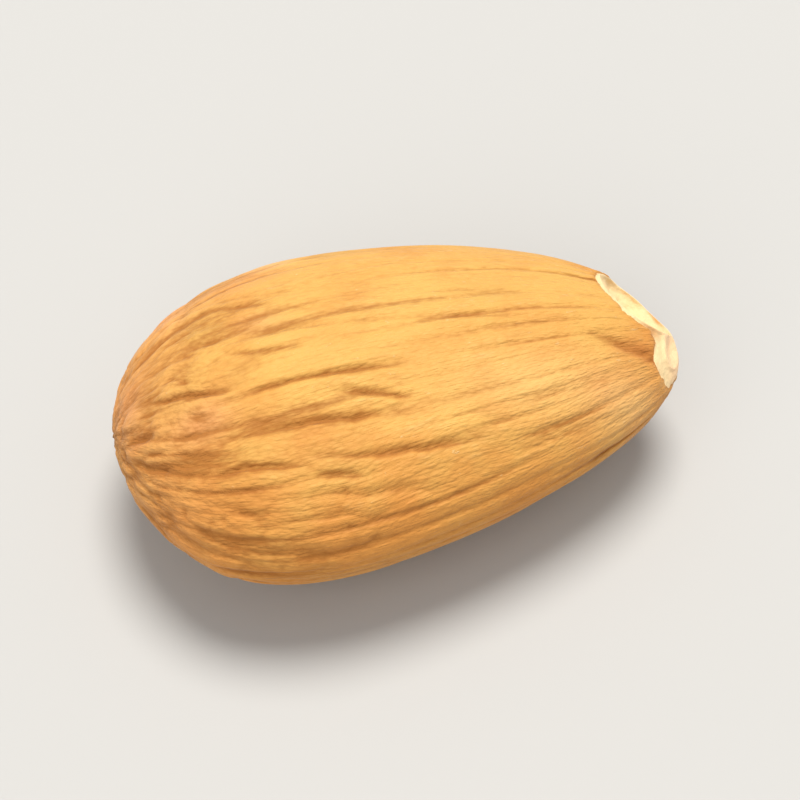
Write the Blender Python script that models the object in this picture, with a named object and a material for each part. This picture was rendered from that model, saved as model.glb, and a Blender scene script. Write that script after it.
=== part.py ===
"""One shelled almond: a whole kernel in its brown skin, lying on the flatter of its two faces.

Run it with blender --background --python part.py, or from Blender's text editor.
Metres, +Z up. +X runs from the blunt end to the pointed tip, and the thickness stands along Z.
The origin is on the surface that the kernel rests on, at the middle of its bounding box.
"""

import math

import bmesh
import bpy
from mathutils import Vector

# Finished size of the kernel
LENGTH = 0.0240
WIDTH = 0.0157
THICKNESS = 0.0090

# Belly: how deep the small flat that the kernel rests on goes
FLAT_DEPTH = 0.0001

# Outline, as shares of the length. The half-width falls from the blunt end to the tip, and
# the line midway between the two edges bows to one side and back.
HALF_WIDTH = 0.311
HALF_WIDTH_TAPER = 0.094
BOW = 0.003
BOW_TURN = 0.048
HALF_THICKNESS_TAPER = 0.17
# How full each end is: 0 leaves it oval, and more makes it squarer
BLUNT_END_FULLNESS = -0.023
TIP_FULLNESS = 0.330

# Tip: the girth shrinks by this share, nearly all of it over the last part of the length
TIP_SHARPENING = 0.30
TIP_SHARPNESS = 9

# Edge between the two faces: a power over 1 turns the oval section into a lens
LENS_POWER = 1.07
# Raised seam that runs round the edge, and how far it spreads up each face
SEAM_HEIGHT = 0.00007
SEAM_SPREAD = math.radians(12)

# Broad lengthwise swellings of each face
SWELLINGS = 9
SWELLING_HEIGHT = 0.00006

# Chips that broke off the tip: the heading of each one's face, counted from +X towards +Y,
# how far the face tilts up, and how deep it was cut
CHIPS = [
    (math.radians(40), math.radians(40), 0.00050),
    (math.radians(-14), math.radians(34), 0.00013),
]

# Grid squares along each edge of the cube that the body is rounded from
GRID = 26

SKIN_COLOUR = (0.56, 0.29, 0.11, 1.0)
SKIN_ROUGHNESS = 0.55


def clear_scene():
    for leftover in list(bpy.data.objects):
        bpy.data.objects.remove(leftover, do_unlink=True)


def skin_material():
    material = bpy.data.materials.new("almond_skin")
    material.use_nodes = True
    shader = material.node_tree.nodes["Principled BSDF"]
    shader.inputs["Base Color"].default_value = SKIN_COLOUR
    shader.inputs["Roughness"].default_value = SKIN_ROUGHNESS
    shader.inputs["Metallic"].default_value = 0.0
    return material


def on_sphere(corner):
    """The cube point pushed out to the unit sphere, with the grid squares kept even."""
    return Vector(math.tan(c * math.pi / 4) for c in corner).normalized()


def along_length(station):
    """Where a station, from -1 at the blunt end to 1 at the tip, lies along X."""
    fullness = BLUNT_END_FULLNESS + (TIP_FULLNESS - BLUNT_END_FULLNESS) * (1 + station) / 2
    return LENGTH / 2 * station * (1 + fullness * (1 - station**2))


def girth_left(station):
    """The share of the girth that the tip's sharpening leaves at a station."""
    return 1 - TIP_SHARPENING * ((1 + station) / 2) ** TIP_SHARPNESS


def on_kernel(direction):
    """The point of the kernel's surface that belongs to a direction from its middle."""
    station, across, upward = direction
    ring = math.hypot(across, upward)
    if ring < 1e-6:
        return Vector((along_length(station), 0, 0))
    girth = girth_left(station)
    middle = LENGTH * (BOW + BOW_TURN * station) * ring
    half_width = LENGTH * (HALF_WIDTH - HALF_WIDTH_TAPER * station) * girth
    half_thickness = THICKNESS / 2 * (1 - HALF_THICKNESS_TAPER * station) * girth
    lens = abs(upward / ring) ** (LENS_POWER - 1)
    above_edge = math.asin(min(1, abs(upward) / ring))
    seam = SEAM_HEIGHT * math.exp(-((above_edge / SEAM_SPREAD) ** 2)) * across
    swelling = SWELLING_HEIGHT * abs(upward) * math.sin(SWELLINGS * math.acos(across / ring))
    return Vector(
        (
            along_length(station),
            middle + across * half_width + seam,
            upward * (lens * half_thickness + swelling),
        )
    )


def rounded_body():
    """A closed grid over the whole kernel, before the tip is chipped and the belly flattened."""
    body = bmesh.new()
    bmesh.ops.create_cube(body, size=2)
    bmesh.ops.subdivide_edges(body, edges=body.edges[:], cuts=GRID - 1, use_grid_fill=True)
    for vertex in body.verts:
        vertex.co = on_kernel(on_sphere(vertex.co))
    return body


def slice_off(body, point, outward):
    """Cuts away what lies beyond a plane, and closes the cut with one flat face."""
    everything = body.verts[:] + body.edges[:] + body.faces[:]
    cut = bmesh.ops.bisect_plane(
        body, geom=everything, plane_co=point, plane_no=outward, clear_outer=True
    )
    rim = [item for item in cut["geom_cut"] if isinstance(item, bmesh.types.BMEdge)]
    bmesh.ops.edgeloop_fill(body, edges=rim)


def chip_the_tip(body):
    for heading, tilt, depth in CHIPS:
        level = math.cos(tilt)
        facing = Vector((level * math.cos(heading), level * math.sin(heading), math.sin(tilt)))
        reach = max(vertex.co.dot(facing) for vertex in body.verts)
        slice_off(body, facing * (reach - depth), facing)


def flatten_the_belly(body):
    lowest = min(vertex.co.z for vertex in body.verts)
    slice_off(body, Vector((0, 0, lowest + FLAT_DEPTH)), Vector((0, 0, -1)))


def fit_to_size(body):
    """Gives the body exactly its finished size, and stands it on the origin."""
    lowest = Vector(min(v.co[k] for v in body.verts) for k in range(3))
    highest = Vector(max(v.co[k] for v in body.verts) for k in range(3))
    foot = Vector(((lowest.x + highest.x) / 2, (lowest.y + highest.y) / 2, lowest.z))
    bmesh.ops.translate(body, vec=-foot, verts=body.verts)
    size = highest - lowest
    share = Vector((LENGTH / size.x, WIDTH / size.y, THICKNESS / size.z))
    bmesh.ops.scale(body, vec=share, verts=body.verts)


def make_kernel():
    body = rounded_body()
    chip_the_tip(body)
    flatten_the_belly(body)
    fit_to_size(body)
    bmesh.ops.recalc_face_normals(body, faces=body.faces)
    mesh = bpy.data.meshes.new("almond_kernel")
    body.to_mesh(mesh)
    body.free()
    mesh.shade_smooth()
    mesh.set_sharp_from_angle(angle=math.radians(30))
    mesh.materials.append(skin_material())
    kernel = bpy.data.objects.new("almond_kernel", mesh)
    bpy.context.scene.collection.objects.link(kernel)
    return kernel


clear_scene()
make_kernel()
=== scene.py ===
import functools
import math

import bpy
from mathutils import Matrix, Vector


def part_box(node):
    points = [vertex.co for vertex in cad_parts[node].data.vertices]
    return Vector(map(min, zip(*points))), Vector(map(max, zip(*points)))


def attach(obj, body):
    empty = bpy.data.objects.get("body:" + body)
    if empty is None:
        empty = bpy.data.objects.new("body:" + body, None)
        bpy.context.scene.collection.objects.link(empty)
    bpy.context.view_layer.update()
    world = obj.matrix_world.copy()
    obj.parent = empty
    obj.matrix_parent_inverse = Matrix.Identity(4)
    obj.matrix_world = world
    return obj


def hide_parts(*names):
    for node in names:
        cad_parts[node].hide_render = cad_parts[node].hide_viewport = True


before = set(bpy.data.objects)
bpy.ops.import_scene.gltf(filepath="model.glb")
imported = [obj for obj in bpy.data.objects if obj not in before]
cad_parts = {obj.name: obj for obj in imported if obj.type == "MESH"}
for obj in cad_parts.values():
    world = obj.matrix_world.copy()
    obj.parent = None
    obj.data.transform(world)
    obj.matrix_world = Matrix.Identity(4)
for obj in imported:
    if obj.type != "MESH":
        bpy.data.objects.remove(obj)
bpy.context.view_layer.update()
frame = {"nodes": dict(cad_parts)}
mm = 0.001
print("frame loaded:", ", ".join(frame["nodes"]))


class Wire:  # a socket that can stand in a sum, where each operator adds its Math node
    def __init__(self, tree, socket=None):
        self.tree = tree
        self.socket = socket

    def add(self, kind, settings=None, feeds=None, out=0):  # any other node
        node = self.tree.nodes.new(kind)
        for name, value in (settings or {}).items():
            if name == "capture":
                node.capture_items.new(*value)
            else:
                setattr(node, name, value)
        for key, value in (feeds or {}).items():
            if isinstance(value, Wire):
                self.tree.links.new(value.socket, node.inputs[key])
            else:
                node.inputs[key].default_value = value
        return Wire(self.tree, node.outputs[out])

    def pick(self, out):  # another output of the same node
        return Wire(self.tree, self.socket.node.outputs[out])

    def maths(self, operation, *others):
        return self.add("ShaderNodeMath", {"operation": operation}, dict(enumerate((self, *others))))

    def vectors(self, operation, *others, out=0):
        feeds = dict(enumerate((self, *others)))
        return self.add("ShaderNodeVectorMath", {"operation": operation}, feeds, out)

    def __add__(self, other):
        return self.maths("ADD", other)

    __radd__ = __add__

    def __sub__(self, other):
        return self.maths("SUBTRACT", other)

    def __rsub__(self, other):
        return self.maths("MULTIPLY_ADD", -1.0, other)

    def __mul__(self, other):
        return self.maths("MULTIPLY", other)

    __rmul__ = __mul__

    def __truediv__(self, other):
        return self.maths("DIVIDE", other)

    def __rtruediv__(self, other):
        return self ** -1.0 * other

    def __pow__(self, other):
        return self.maths("POWER", other)

    def __neg__(self):
        return self.maths("MULTIPLY", -1.0)

    def __abs__(self):
        return self.maths("ABSOLUTE")

    def least(self, other):
        return self.maths("MINIMUM", other)

    def most(self, other):
        return self.maths("MAXIMUM", other)

    def ease(self, start, end, low=0.0, high=1.0):  # low until start, then smoothly to high at end
        settings = {"interpolation_type": "SMOOTHSTEP"}
        return self.add("ShaderNodeMapRange", settings, {0: self, 1: start, 2: end, 3: low, 4: high})

    def hump(self, halfWidth):  # a bell that is 1 where the value is 0
        share = self / halfWidth
        return (-(share * share)).maths("EXPONENT")

    def split(self):
        x = self.add("ShaderNodeSeparateXYZ", feeds={0: self})
        return x, x.pick(1), x.pick(2)

    def joined(self, x, y, z):
        return self.add("ShaderNodeCombineXYZ", feeds={0: x, 1: y, 2: z})

    def noise(self, pitch, detail=0.0, roughness=0.5, seed=0.0):  # -1 to 1, lumps about a pitch apart
        feeds = {"Vector": self, "W": seed, "Scale": 1 / pitch}
        feeds.update({"Detail": detail, "Roughness": roughness})
        return self.add("ShaderNodeTexNoise", {"noise_dimensions": "4D"}, feeds) * 2 - 1

    def cells(self, pitch):  # 0 in the middle of each cell, about 1 between them
        return self.add("ShaderNodeTexVoronoi", feeds={"Vector": self, "Scale": 1 / pitch})

    def stretched(self, share):  # a pattern on it comes out 1 / share as long
        return self.vectors("MULTIPLY", (share, 1.0, 1.0))

    def blend(self, first, second):  # colours mixed by this value
        return self.add("ShaderNodeMix", {"data_type": "RGBA"}, {0: self, 6: first, 7: second}, 2)


kernel = {
    "name": "almondKernel",
    "gridPoints": (112, 164, 108),  # along the edges of the cube that the body is rounded from
    "seed": 4.0,
    # the body, in shares of its length unless it says otherwise
    "halfWidth": 0.311,
    "halfWidthTaper": 0.094,
    "bow": 0.003,
    "bowTurn": 0.048,
    "halfThicknessTaper": 0.17,
    "bluntFullness": -0.023,
    "tipFullness": 0.330,
    "tipSharpening": 0.30,
    "tipSharpness": 9.0,
    "lensPower": 1.07,
    "seamHeight": 0.07 * mm,
    "seamSpread": math.radians(12),
    "swellings": 9,
    "swellingHeight": 0.06 * mm,
    "flatDepth": 0.1 * mm,
    # how far the lines from end to end spread over the width and the thickness, in millimetres
    "lineSpread": (7.8, 5.0),
    "lensEvening": 0.0212,  # spaces the veins evenly round the lens section
    # veins from end to end, furrows and wrinkles: how deep and how far apart, in millimetres
    "veinCount": 38,
    "veinDepth": 0.075,
    "furrowDepth": 0.07,
    "furrowPitch": 1.5,
    "furrowWaver": 0.17,
    "waverPitch": 1.3,
    "fineDepth": 0.03,
    "finePitch": 0.5,
    "lumpDepth": 0.09,
    "lumpPitch": 1.2,
    "pitDepth": 0.09,
    "swellHeight": 0.03,
    "darkestDepth": 0.2,  # where a furrow has its full colour
    # the broken tip: how thick the skin is, and how rough the flesh, in millimetres
    "skinThickness": 0.10,
    "skinLip": 0.03,
    "fleshLumps": 0.10,
    "fleshGrain": 0.06,
    "fleshCracks": 0.10,
}

# The deep furrows of the upper face, in millimetres from the middle of the kernel:
# from x, from y, to x, to y, how far it bulges to its left, depth, half-width
furrows = [
    (-7.4, -1.55, 0.3, -1.25, 0.12, 0.155, 0.24),
    (-3.0, -2.10, 0.2, -2.80, 0.08, 0.15, 0.25),
    (-7.6, -3.20, -0.6, -3.35, 0.10, 0.165, 0.26),
    (-11.3, -2.30, -7.0, -4.05, -0.30, 0.18, 0.30),
    (-8.5, -4.20, -4.5, -4.85, 0.00, 0.15, 0.22),
    (-4.2, -4.55, 3.2, -4.25, -0.35, 0.13, 0.22),
    (-4.4, -5.25, -2.3, -5.50, 0.00, 0.12, 0.20),
    (-6.2, -5.85, 1.8, -5.95, -0.10, 0.09, 0.24),
    (-10.6, -0.05, -6.8, -1.15, -0.10, 0.15, 0.25),
    (-11.7, -1.10, -10.2, -1.70, 0.00, 0.20, 0.30),
    (-8.9, 1.60, -5.4, 1.95, 0.00, 0.09, 0.35),
    (-10.4, 2.60, -4.6, 2.95, 0.75, 0.11, 0.30),
    (-6.6, 1.35, 8.2, 0.35, 0.10, 0.06, 0.25),
    (-7.2, 0.95, -3.8, 0.30, -0.20, 0.08, 0.25),
    (1.2, 2.50, 5.6, 1.90, 0.00, 0.05, 0.28),
    (7.6, -0.15, 11.9, -1.20, -0.05, 0.18, 0.44),
    (3.8, -3.30, 10.2, -1.55, -0.10, 0.07, 0.28),
    (3.2, -4.95, 9.0, -3.05, -0.15, 0.08, 0.26),
    (-10.4, -4.90, -2.0, -7.40, -1.00, 0.11, 0.26),
    (-6.6, -6.45, -1.6, -6.75, 0.00, 0.08, 0.20),
]

# Bites out of the tip, each a hollow ball, and how far the skin has peeled back round it,
# in millimetres
bites = [
    {"middle": (11.95, 3.05, 6.75), "radius": 2.75, "peeled": 0.20},
    {"middle": (15.20, -1.00, 6.45), "radius": 4.05, "peeled": 0.52},
]


def scaled(vector, length):
    return vector.add("ShaderNodeVectorMath", {"operation": "SCALE"}, {0: vector, 3: length})


def groupInputs(tree, inputs):  # adds the tree's named inputs and gives them as wires
    for name, (kind, value) in inputs.items():
        socket = tree.interface.new_socket(name, in_out="INPUT", socket_type=kind)
        if kind != "NodeSocketMaterial":
            socket.default_value = value
    node = tree.nodes.new("NodeGroupInput")
    return {name: Wire(tree, node.outputs[name]) for name in inputs}


def bodyShape(direction, length, thickness):
    station, across, upward = direction.split()
    ring = (across * across + upward * upward).maths("SQRT").most(1e-6)
    share = (station + 1) / 2
    fullness = kernel["bluntFullness"] + (kernel["tipFullness"] - kernel["bluntFullness"]) * share
    x = length / 2 * station * (1 + fullness * (1 - station * station))
    girth = 1 - kernel["tipSharpening"] * share ** kernel["tipSharpness"]
    middle = length * (kernel["bow"] + kernel["bowTurn"] * station) * ring
    halfWidth = length * (kernel["halfWidth"] - kernel["halfWidthTaper"] * station) * girth
    halfThickness = thickness / 2 * (1 - kernel["halfThicknessTaper"] * station) * girth
    tilt = (abs(upward) / ring).most(1e-4).least(1.0)
    lens = tilt ** (kernel["lensPower"] - 1)
    seam = tilt.maths("ARCSINE").hump(kernel["seamSpread"]) * across * kernel["seamHeight"]
    wave = ((across / ring).maths("ARCCOSINE") * kernel["swellings"]).maths("SINE")
    swelling = abs(upward) * wave * kernel["swellingHeight"]
    y = middle + across * halfWidth + seam
    return direction.joined(x, y, upward * (lens * halfThickness + swelling))


def captured(geometry, name, value, kind="FLOAT"):  # the value as it is now, kept while the points move
    settings = {"capture": (kind, name)}
    held = geometry.add("GeometryNodeCaptureAttribute", settings, {0: geometry, 1: value})
    return held, held.pick(1)


def storedAs(geometry, name, value, kind="FLOAT"):
    settings = {"data_type": kind, "domain": "POINT"}
    feeds = {"Geometry": geometry, "Name": name, "Value": value}
    return geometry.add("GeometryNodeStoreNamedAttribute", settings, feeds)


def movedTo(geometry, position):
    return geometry.add("GeometryNodeSetPosition", feeds={"Geometry": geometry, "Position": position})


def fittedToBox(geometry, lowCorner, highCorner):  # the belly is flattened on the way
    place = geometry.add("GeometryNodeInputPosition")
    box = geometry.add("GeometryNodeBoundBox", feeds={0: geometry}, out=1)
    x, y, z = place.split()
    lowest = box.split()[2]
    flat = movedTo(geometry, place.joined(x, y, z.most(lowest + kernel["flatDepth"])))
    low = geometry.add("GeometryNodeBoundBox", feeds={0: flat}, out=1)
    high = low.pick(2)
    share = place.vectors("SUBTRACT", low).vectors("DIVIDE", high.vectors("SUBTRACT", low))
    size = highCorner.vectors("SUBTRACT", lowCorner)
    return movedTo(flat, share.vectors("MULTIPLY", size).vectors("ADD", lowCorner))


def smoothBody(start, group):  # also gives the direction of each point from the middle
    cubeFeeds = dict(enumerate(((2.0, 2.0, 2.0), *kernel["gridPoints"])))
    cube = start.add("GeometryNodeMeshCube", feeds=cubeFeeds)
    corner = start.add("GeometryNodeInputPosition").split()
    evened = [(side * (math.pi / 4)).maths("TANGENT") for side in corner]  # for an even grid
    direction = evened[0].joined(*evened).vectors("NORMALIZE")
    body, direction = captured(cube, "Direction", direction, "VECTOR")
    body = movedTo(body, bodyShape(direction, group["Length"], group["Thickness"]))
    return fittedToBox(body, group["Low Corner"], group["High Corner"]), direction


def furrowBend(place, seed):  # how the deep furrows waver
    return place.noise(kernel["waverPitch"], 1.0, seed=seed + 1) * kernel["furrowWaver"]


def furrowCourse(x, y, bend, fromX, fromY, toX, toY, bulge, depth):  # how far aside, and how deep there
    run = math.hypot(toX - fromX, toY - fromY)
    aheadX, aheadY = (toX - fromX) / run, (toY - fromY) / run
    ahead = ((x - fromX) * aheadX + (y - fromY) * aheadY) / run
    aside = (y - fromY) * aheadX - (x - fromX) * aheadY
    arch = ahead * (1 - ahead)
    reach = ahead.ease(-0.10, 0.38) * ahead.ease(0.62, 1.10, 1.0, 0.0) * depth
    return aside - arch * (4 * bulge) + bend, reach


def deepFurrows(x, y, bend, *widths):  # all of them, once for each share of their width
    made = [x * 0 for width in widths]
    for *course, halfWidth in furrows:
        aside, reach = furrowCourse(x, y, bend, *course)
        grooves = [aside.hump(halfWidth * width) * reach for width in widths]
        made = [before.most(groove) for before, groove in zip(made, grooves)]
    return made


def unevenReach(place, radius, seed):  # a bite's radius in millimetres, ragged and less further down
    wander = place.noise(1.7 * mm, seed=seed + 20) * 0.18
    wander = wander + place.noise(0.6 * mm, 1.0, seed=seed + 21) * 0.09
    y, z = place.split()[1:]
    further = z.ease(5.4 * mm, 3.8 * mm).most(y.ease(3.5 * mm, 4.9 * mm))
    return radius + wander + further * (place.noise(1.5 * mm, 2.0, seed=seed + 22) * 1.05 - 0.85)


def bitten(geometry, bite, seed):
    place = geometry.add("GeometryNodeInputPosition")
    centre = Vector(bite["middle"]) * mm
    away = place.vectors("SUBTRACT", centre)
    gap = away.vectors("LENGTH", out=1)
    reach = unevenReach(place, bite["radius"], seed) * mm
    pushed = scaled(away.vectors("NORMALIZE"), gap.most(reach))
    return movedTo(geometry, pushed.vectors("ADD", centre))


def biteDepth(start, seed):  # how far inside a bite, and inside its peeled rim, in millimetres
    place = start.add("GeometryNodeInputPosition")
    insides, bareds = [], []
    for bite in bites:
        gap = place.vectors("DISTANCE", Vector(bite["middle"]) * mm, out=1) / mm
        insides.append(unevenReach(place, bite["radius"], seed) - gap)
        bareds.append(insides[-1] + bite["peeled"])
    return functools.reduce(Wire.most, insides), functools.reduce(Wire.most, bareds)


def softened(geometry, seed):  # rounds the broken edges of the tip
    place = geometry.add("GeometryNodeInputPosition")
    near = biteDepth(geometry, seed)[0].ease(-0.30, -0.05)
    feeds = {"Value": place, "Iterations": 12, "Weight": near}
    blurred = place.add("GeometryNodeBlurAttribute", {"data_type": "FLOAT_VECTOR"}, feeds)
    return movedTo(geometry, blurred)


def brokenTip(body, seed):  # also gives how far inside the bites and their rims each point lay before
    inside, bared = biteDepth(body, seed)
    body, inside = captured(body, "Inside", inside)
    body, bared = captured(body, "Bared", bared)
    for bite in bites:
        body = bitten(body, bite, seed)
    return softened(body, seed), inside, bared


def kernelTree(inputs):
    tree = bpy.data.node_groups.new("kernelShape", "GeometryNodeTree")
    tree.interface.new_socket("Geometry", in_out="OUTPUT", socket_type="NodeSocketGeometry")
    group = groupInputs(tree, inputs)
    start = Wire(tree)
    seed = group["Seed"]
    body, direction = smoothBody(start, group)
    body, inside, bared = brokenTip(body, seed)

    # places in millimetres, then the same with the lines that run from end to end drawn straight
    place = start.add("GeometryNodeInputPosition").vectors("DIVIDE", (mm, mm, mm))
    x, y, z = place.split()
    across, upward = direction.split()[1:]
    ring = (across * across + upward * upward).maths("SQRT").most(1e-4)
    spread = ring ** 0.35
    widthSpread, thicknessSpread = kernel["lineSpread"]
    lineY = across / ring * spread * widthSpread
    lineZ = upward / ring * spread * thicknessSpread
    blunt = x.ease(-10.5, -4.5, 1.0, 0.0)
    sway = place.noise(4.5, seed=seed) * (blunt * 0.6 + 0.25)
    swayMore = place.noise(1.6, seed=seed + 3) * (blunt * 0.2 + 0.08)
    grain = place.joined(x, lineY + sway + swayMore, lineZ + sway)
    longGrain = grain.stretched(0.17)

    # where the skin is smooth and where it is wrinkled
    onTop = upward.ease(0.0, 0.25)
    calm = x.ease(-7.0, 1.5) * y.ease(-6.0, 0.0, 0.45, 1.0) * y.ease(4.5, 7.5, 1.0, 0.2) * onTop
    rough = 1 - calm * 0.72 - y.ease(-3.0, -5.5) * 0.22 * onTop

    # the bare flesh in and round the bites, and the lip of skin that curls up beside it
    ragged = place.noise(0.45, 2.0, seed=seed + 9) * 0.20 + place.noise(1.2, seed=seed + 10) * 0.26
    ragged = ragged * (y.ease(3.6, 4.8) * 1.2 + 1) + z.ease(5.3, 4.7) * x.ease(10.2, 10.8) * 0.25
    torn = bared + ragged
    bare = torn.ease(-0.06, 0.06).most(inside.ease(-0.02, 0.06))
    lip = (torn + 0.18).hump(0.14) * (1 - bare)

    # deep furrows with raised banks
    groove, banks = deepFurrows(x, y, furrowBend(place, seed), 0.75, 2)
    deep = (groove * 1.3 - banks * 0.32) * onTop

    # veins
    turned = upward.maths("ARCTAN2", across)
    warp = longGrain.noise(3.0, seed=seed + 7) * 0.55 + longGrain.noise(1.0, seed=seed + 8) * 0.22
    around = turned / math.tau - (turned * 2).maths("SINE") * kernel["lensEvening"]
    veins = ((around * group["Vein Count"] + warp) * math.tau).maths("COSINE") * 0.5 + 0.5
    strength = longGrain.noise(1.3, seed=seed + 13).ease(-0.45, 0.45, 0.15, 1.0) * ring.ease(0.12, 0.5)
    vein = veins ** 3.0 * strength

    # a net of lesser furrows, lumps at the blunt end, pits low on the upper face, and fine wrinkles
    crease = abs(longGrain.noise(group["Furrow Pitch"], 1.0, 0.4, seed=seed + 2))
    crease = crease.ease(0.0, 0.20, 1.0, 0.0)
    swell = longGrain.noise(group["Furrow Pitch"] * 1.3, seed=seed + 4)
    fine = longGrain.noise(group["Fine Pitch"], 1.0, 0.5, seed=seed + 5)
    lumps = abs(grain.stretched(0.5).noise(group["Lump Pitch"], 1.0, 0.4, seed=seed + 6))
    lumps = lumps.ease(0.0, 0.26, 1.0, 0.0) * blunt
    depth = deep + crease * rough * group["Furrow Depth"] + lumps * group["Lump Depth"]
    depth = depth + vein * (rough * 0.1 + 0.9) * group["Vein Depth"]
    depth = depth * (place.noise(0.9, 1.0, seed=seed + 14) * 0.4 + 1)
    depth = depth - (swell - 1) * rough * kernel["swellHeight"]
    pits = place.noise(0.75, 1.0, seed=seed + 15).ease(0.22, 0.60) * y.ease(-1.0, -4.5, 0.3, 1.0)
    depth = depth + pits * x.ease(5.0, -1.0) * onTop * group["Pit Depth"]
    ripple = fine * group["Fine Depth"] * (rough + 0.25)

    # the skin's height over the smooth body, and the broken flesh's
    peeled = bare * inside.ease(-0.12, 0.0, 1.0, 0.0) * z.ease(4.7, 5.4, 0.3, 1.0)  # outside the bite
    height = (ripple - depth) * (1 - bare) - peeled * group["Skin Thickness"] + lip * kernel["skinLip"]
    farSide = y.ease(0.5, 2.5)
    broken = place.noise(0.9, seed=seed + 11) * (farSide * 0.07 + kernel["fleshLumps"])
    broken = broken + place.noise(0.35, 2.0, seed=seed + 12) * kernel["fleshGrain"]
    cracks = abs(place.noise(1.5, 1.0, seed=seed + 16)).ease(0.0, 0.32, kernel["fleshCracks"], 0.0)
    broken = (broken - cracks * farSide) * inside.ease(-0.02, 0.45)
    height = height + bare * broken
    onFlat = z.ease(0.0, 0.12)  # the belly's flat keeps its level
    normal = start.add("GeometryNodeInputNormal")
    shift = scaled(normal, height * onFlat * mm)

    body = storedAs(body, "furrow", (depth / kernel["darkestDepth"]).least(1.0).most(0.0))
    body = storedAs(body, "vein", veins * strength)
    body = storedAs(body, "bare", bare)
    body = storedAs(body, "grain", grain, "FLOAT_VECTOR")
    body = body.add("GeometryNodeSetPosition", feeds={"Geometry": body, "Offset": shift})
    body = body.add("GeometryNodeSetShadeSmooth", feeds={"Geometry": body})
    body = body.add("GeometryNodeRealizeInstances", feeds={"Geometry": body})
    body = body.add("GeometryNodeSetMaterial", feeds={"Geometry": body, "Material": group["Skin"]})
    output = tree.nodes.new("NodeGroupOutput")
    tree.links.new(body.socket, output.inputs[0])
    return tree


def makeKernel(skin):
    low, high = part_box("almond_kernel")
    inputs = {
        "Length": ("NodeSocketFloat", high.x - low.x),
        "Thickness": ("NodeSocketFloat", high.z - low.z),
        "Low Corner": ("NodeSocketVector", low),
        "High Corner": ("NodeSocketVector", high),
        "Vein Count": ("NodeSocketFloat", kernel["veinCount"]),
        "Vein Depth": ("NodeSocketFloat", kernel["veinDepth"]),
        "Furrow Depth": ("NodeSocketFloat", kernel["furrowDepth"]),
        "Furrow Pitch": ("NodeSocketFloat", kernel["furrowPitch"]),
        "Fine Depth": ("NodeSocketFloat", kernel["fineDepth"]),
        "Fine Pitch": ("NodeSocketFloat", kernel["finePitch"]),
        "Lump Depth": ("NodeSocketFloat", kernel["lumpDepth"]),
        "Lump Pitch": ("NodeSocketFloat", kernel["lumpPitch"]),
        "Pit Depth": ("NodeSocketFloat", kernel["pitDepth"]),
        "Skin Thickness": ("NodeSocketFloat", kernel["skinThickness"]),
        "Seed": ("NodeSocketFloat", kernel["seed"]),
        "Skin": ("NodeSocketMaterial", skin),
    }
    tree = kernelTree(inputs)
    blank = bpy.data.objects.new("kernelBlank", bpy.data.meshes.new("kernelBlank"))
    bpy.context.scene.collection.objects.link(blank)
    modifier = blank.modifiers.new("kernelShape", "NODES")
    modifier.node_group = tree
    for item in tree.interface.items_tree:
        if item.in_out == "INPUT":
            modifier[item.identifier] = inputs[item.name][1]
    shaped = blank.evaluated_get(bpy.context.evaluated_depsgraph_get())
    mesh = bpy.data.meshes.new_from_object(shaped)
    blank.modifiers.remove(modifier)
    bpy.data.objects.remove(blank)
    mesh.name = kernel["name"]
    piece = bpy.data.objects.new(kernel["name"], mesh)
    bpy.context.scene.collection.objects.link(piece)
    return piece


skinLook = {
    "golden": (0.70, 0.395, 0.092, 1),
    "cinnamon": (0.62, 0.26, 0.050, 1),
    "bluntEnd": (0.66, 0.29, 0.095, 1),
    "furrow": (0.34, 0.12, 0.016, 1),
    "dustAndHighlight": (0.86, 0.58, 0.22, 1),
    "flake": (0.90, 0.67, 0.34, 1),
    "pale": (0.90, 0.60, 0.26, 1),
    "yellow": (0.86, 0.52, 0.13, 1),
    "pink": (0.80, 0.35, 0.15, 1),
    "olive": (0.46, 0.28, 0.06, 1),
    "russet": (0.52, 0.17, 0.035, 1),
    "flesh": (0.84, 0.67, 0.37, 1),
    "fleshTip": (0.92, 0.62, 0.37, 1),
    "fleshShade": (0.78, 0.51, 0.26, 1),
    "fleshStain": (0.58, 0.30, 0.11, 1),
    "skinEdge": (0.30, 0.10, 0.03, 1),
    "roughness": 0.52,
    "specular": 0.22,
    "sheen": 0.12,
    "sheenRoughness": 0.45,
    "sheenTint": (1.0, 0.84, 0.62, 1),
    "bumpStrength": 0.9,
    "bumpDistance": 0.08 * mm,
    "fissureWidth": 0.28,  # of the furrow that it lies in
    "fissureDepth": 0.17,  # of a furrow whose fissure is fully dark, in millimetres
}

# Soft patches of colour on the upper face, in millimetres: middle x and y, half-length, half-width,
# which colour, and how strongly
patches = [
    # the pale patch on the upper-left rim is a painted highlight
    (-4.7, 6.7, 1.3, 1.0, "pale", 0.55),
    # the first yellow patch, on a ridge of the upper face, is a painted highlight
    (-3.2, -2.35, 2.6, 0.40, "yellow", 0.55),
    (1.2, -3.75, 2.4, 0.35, "yellow", 0.35),
    (-8.3, -2.1, 1.2, 0.9, "pink", 0.55),
    (-5.5, 2.1, 1.0, 0.6, "pink", 0.30),
    (-9.4, 5.0, 1.5, 1.4, "pink", 0.55),
    (-11.3, 0.5, 0.8, 1.3, "pink", 0.45),
    (4.0, 2.1, 1.6, 0.45, "olive", 0.22),
    (2.6, -4.4, 1.3, 0.35, "olive", 0.25),
    (-7.6, 2.3, 1.3, 0.5, "olive", 0.25),
    (4.5, 6.5, 2.2, 0.6, "olive", 0.22),
    (-7.5, 5.6, 3.2, 1.5, "pink", 0.28),
    (5.5, -2.4, 3.8, 1.5, "pale", 0.22),
    (9.2, -2.9, 1.9, 1.2, "pale", 0.30),
    (9.85, -0.75, 1.1, 0.45, "russet", 0.60),
    (-10.9, -1.5, 0.7, 0.5, "russet", 0.55),
]


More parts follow.
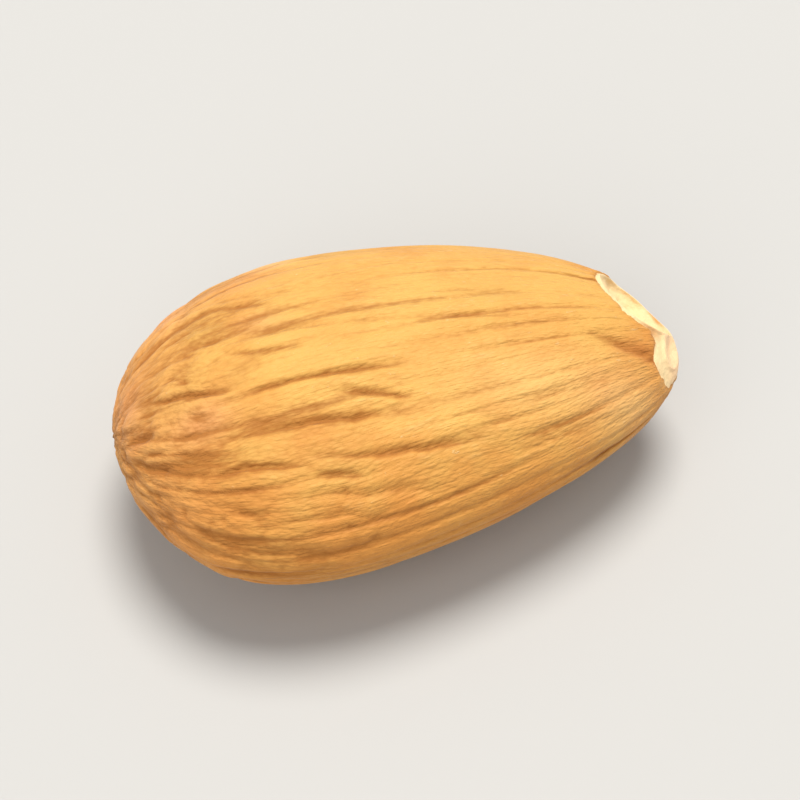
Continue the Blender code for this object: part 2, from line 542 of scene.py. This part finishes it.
def skinMaterial():
    material = bpy.data.materials.new("almondSkin")
    material.use_nodes = True
    tree = material.node_tree
    tree.nodes.clear()
    start = Wire(tree)
    place = start.add("ShaderNodeTexCoord", out=3).vectors("DIVIDE", (mm, mm, mm))  # millimetres
    furrow = start.add("ShaderNodeAttribute", {"attribute_name": "furrow"}, out=2)
    bare = start.add("ShaderNodeAttribute", {"attribute_name": "bare"}, out=2)
    grain = start.add("ShaderNodeAttribute", {"attribute_name": "grain"}, out=1)
    vein = start.add("ShaderNodeAttribute", {"attribute_name": "vein"}, out=2)
    x, y, z = place.split()

    # fibres and hairs along the kernel, blotches, fine grains, and flakes of scurf
    fibreGrain = grain.stretched(0.10)
    fibre = fibreGrain.noise(0.30, 3.0, 0.65, 1.0)
    hair = fibreGrain.noise(0.10, 2.0, 0.6, 2.0)
    mottle = place.noise(3.2, 3.0, 0.6, 3.0)
    blotch = grain.stretched(0.4).noise(0.8, 3.0, 0.6, 7.0)
    granules = grain.stretched(0.5).cells(0.16)
    flakes = grain.stretched(0.4).noise(0.26, 3.0, 0.75, 5.0)
    line = vein.most(0.0) ** 5.0

    # the thin dark fissure along the bottom of each deep furrow: a dent in the bump, and painted shade
    # in the colour
    bend = furrowBend(place, kernel["seed"]) + place.noise(0.30, 2.0, 0.6, 10.0) * 0.05
    fissure = deepFurrows(x, y, bend, skinLook["fissureWidth"])[0] / skinLook["fissureDepth"]
    fissure = fissure * z.ease(4.7, 5.4) * x.ease(7.5, 6.5) * (blotch * 0.9 + 0.8)

    # the ground colour and its soft patches
    # redder and darker towards the near, lower side as painted shade, and redder towards the tip
    lower = y.ease(-7.5, -1.0, 0.45, 0.0) + x.ease(7.5, 11.0, 0.0, 0.4)
    redness = (mottle * 0.9 + lower + 0.30).ease(0.0, 1.0)
    colour = redness.blend(skinLook["golden"], skinLook["cinnamon"])
    colour = x.ease(-11.5, -7.0, 0.55, 0.0).blend(colour, skinLook["bluntEnd"])
    upperFace = z.ease(3.5, 5.5)
    for patchX, patchY, halfLength, halfWidth, tint, share in patches:
        spot = (x - patchX).hump(halfLength) * (y - patchY + fibre * 0.3).hump(halfWidth)
        colour = (spot * upperFace * share).blend(colour, skinLook[tint])

    # darker in the furrows, partly the skin's own colour there and partly painted shade, and paler on
    # the crests
    dark = furrow * 0.72 + line * 0.45 + fibre * 0.32 + hair * 0.32 + blotch * 0.22 + granules * 0.28
    # painted shade along the bottom of the deep furrows
    dark = dark + fissure * 0.30
    colour = dark.ease(0.16, 1.05, 0.0, 0.88).blend(colour, skinLook["furrow"])
    # the paler crests are partly dust and partly painted highlight where the ridges catch the light
    crest = (1 - furrow * 3 - line).ease(0.2, 1.0)
    crest = crest * (fibre + blotch * 0.7 - granules * 0.3).ease(-0.1, 0.8)
    colour = (crest * 0.42).blend(colour, skinLook["dustAndHighlight"])
    flake = (flakes - furrow * 0.4).ease(0.22, 0.40)
    colour = (flake * 0.42).blend(colour, skinLook["flake"])

    # the torn edge of the skin, and the flesh
    rim = (bare - 0.35).hump(0.3)
    colour = (rim * 0.45).blend(colour, skinLook["skinEdge"])
    flesh = x.ease(10.9, 11.6).blend(skinLook["flesh"], skinLook["fleshTip"])
    shade = (place.noise(0.6, 2.0, 0.5, 6.0) * 0.4 + 0.35).most(0.0)
    flesh = shade.blend(flesh, skinLook["fleshShade"])
    stain = (x - 10.65).hump(0.45) * (y - 0.30).hump(0.30) * z.ease(5.0, 5.8)  # between the bites
    stain = stain.most(place.noise(1.4, 2.0, 0.6, 9.0).ease(0.15, 0.55) * 0.45)
    flesh = stain.blend(flesh, skinLook["fleshStain"])
    colour = bare.ease(0.45, 0.8).blend(colour, flesh)

    skinRelief = fibre * 0.5 + hair * 0.3 + flake * 0.2 - granules * 0.5 - line * 0.4 + blotch * 0.3
    fleshRelief = place.noise(0.25, 3.0, 0.6, 8.0) * 0.5
    relief = (skinRelief - fissure * 0.6) * (1 - bare) + fleshRelief * bare
    bumpFeeds = {
        "Strength": skinLook["bumpStrength"],
        "Distance": skinLook["bumpDistance"],
        "Height": relief,
    }
    bump = start.add("ShaderNodeBump", feeds=bumpFeeds)
    shaderFeeds = {
        "Base Color": colour,
        "Roughness": skinLook["roughness"] + furrow * 0.15 + granules * 0.12 - flake * 0.05,
        "Normal": bump,
        "Specular IOR Level": skinLook["specular"],
        "Sheen Weight": skinLook["sheen"],
        "Sheen Roughness": skinLook["sheenRoughness"],
        "Sheen Tint": skinLook["sheenTint"],
    }
    shader = start.add("ShaderNodeBsdfPrincipled", feeds=shaderFeeds)
    output = tree.nodes.new("ShaderNodeOutputMaterial")
    tree.links.new(shader.socket, output.inputs["Surface"])
    return material


almond = makeKernel(skinMaterial())
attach(almond, "root")
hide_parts("almond_kernel")
print("kernel made:", len(almond.data.polygons), "faces")


studio = {
    "floorRadius": 0.9,
    "rimRadius": 0.5,  # how tightly the floor curves up at its edge
    "rimTurn": math.radians(75),  # how far it curves up
    "floorSides": 96,
    "rimSteps": 14,
    "floorColour": (0.47, 0.465, 0.45, 1),
    "floorRoughness": 0.9,
    "airColour": (0.97, 0.985, 1.0, 1),
    "airStrength": 0.48,
    "elevation": math.radians(54),
    "azimuth": math.radians(-10.3),
    "lens": 100,
    "clipStart": 0.005,
    "fill": 0.72,  # the kernel's length, as a share of the width that the camera sees
}

# Lamps: where the light comes from, its spread in degrees, its strength and its colour
lamps = {
    "keyLight": ((0.13, 0.34, 1.0), 30, 3.6, (1.0, 0.97, 0.93)),
    "fillLight": ((-0.70, -0.85, 0.70), 60, 1.25, (1.0, 0.98, 0.96)),
}


def plainMaterial(name, colour, roughness):
    material = bpy.data.materials.new(name)
    material.use_nodes = True
    shader = material.node_tree.nodes["Principled BSDF"]
    shader.inputs["Base Color"].default_value = colour
    shader.inputs["Roughness"].default_value = roughness
    return material


def makeFloor():
    sides, steps = studio["floorSides"], studio["rimSteps"]
    rings = [(studio["floorRadius"], 0.0)]
    for step in range(1, steps + 1):
        turn = studio["rimTurn"] * step / steps
        reach = studio["floorRadius"] + studio["rimRadius"] * math.sin(turn)
        rings.append((reach, studio["rimRadius"] * (1 - math.cos(turn))))
    points = []
    for reach, rise in rings:
        for side in range(sides):
            turn = math.tau * side / sides
            points.append((reach * math.cos(turn), reach * math.sin(turn), rise))
    faces = [tuple(range(sides))]
    for ring in range(steps):
        for side in range(sides):
            ahead = (side + 1) % sides
            inner, outer = ring * sides, (ring + 1) * sides
            faces.append((inner + side, outer + side, outer + ahead, inner + ahead))
    mesh = bpy.data.meshes.new("floor")
    mesh.from_pydata(points, [], faces)
    mesh.shade_smooth()
    mesh.materials.append(plainMaterial("floorPaper", studio["floorColour"], studio["floorRoughness"]))
    floor = bpy.data.objects.new("floor", mesh)
    bpy.context.scene.collection.objects.link(floor)


def makeLamps():
    for name, (source, spread, strength, colour) in lamps.items():
        lamp = bpy.data.lights.new(name, "SUN")
        lamp.angle = math.radians(spread)
        lamp.energy = strength
        lamp.color = colour
        holder = bpy.data.objects.new(name, lamp)
        holder.rotation_euler = Vector(source).to_track_quat("Z", "Y").to_euler()
        bpy.context.scene.collection.objects.link(holder)


def makeAir():
    world = bpy.data.worlds.new("air")
    world.use_nodes = True
    background = world.node_tree.nodes["Background"]
    background.inputs["Color"].default_value = studio["airColour"]
    background.inputs["Strength"].default_value = studio["airStrength"]
    bpy.context.scene.world = world


def makeCamera(low, high):
    camera = bpy.data.cameras.new("camera")
    camera.lens = studio["lens"]
    camera.clip_start = studio["clipStart"]
    fieldWidth = (high.x - low.x) / studio["fill"]
    distance = fieldWidth * camera.lens / camera.sensor_width
    level = math.cos(studio["elevation"])
    around = studio["azimuth"]
    back = Vector((math.sin(around) * level, -math.cos(around) * level, math.sin(studio["elevation"])))
    holder = bpy.data.objects.new("camera", camera)
    holder.location = (low + high) / 2 + back * distance
    holder.rotation_euler = back.to_track_quat("Z", "Y").to_euler()
    bpy.context.scene.collection.objects.link(holder)
    bpy.context.scene.camera = holder


low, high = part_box("almond_kernel")
makeFloor()
makeLamps()
makeAir()
makeCamera(low, high)
bpy.context.scene.view_settings.view_transform = "Standard"
print("studio made")
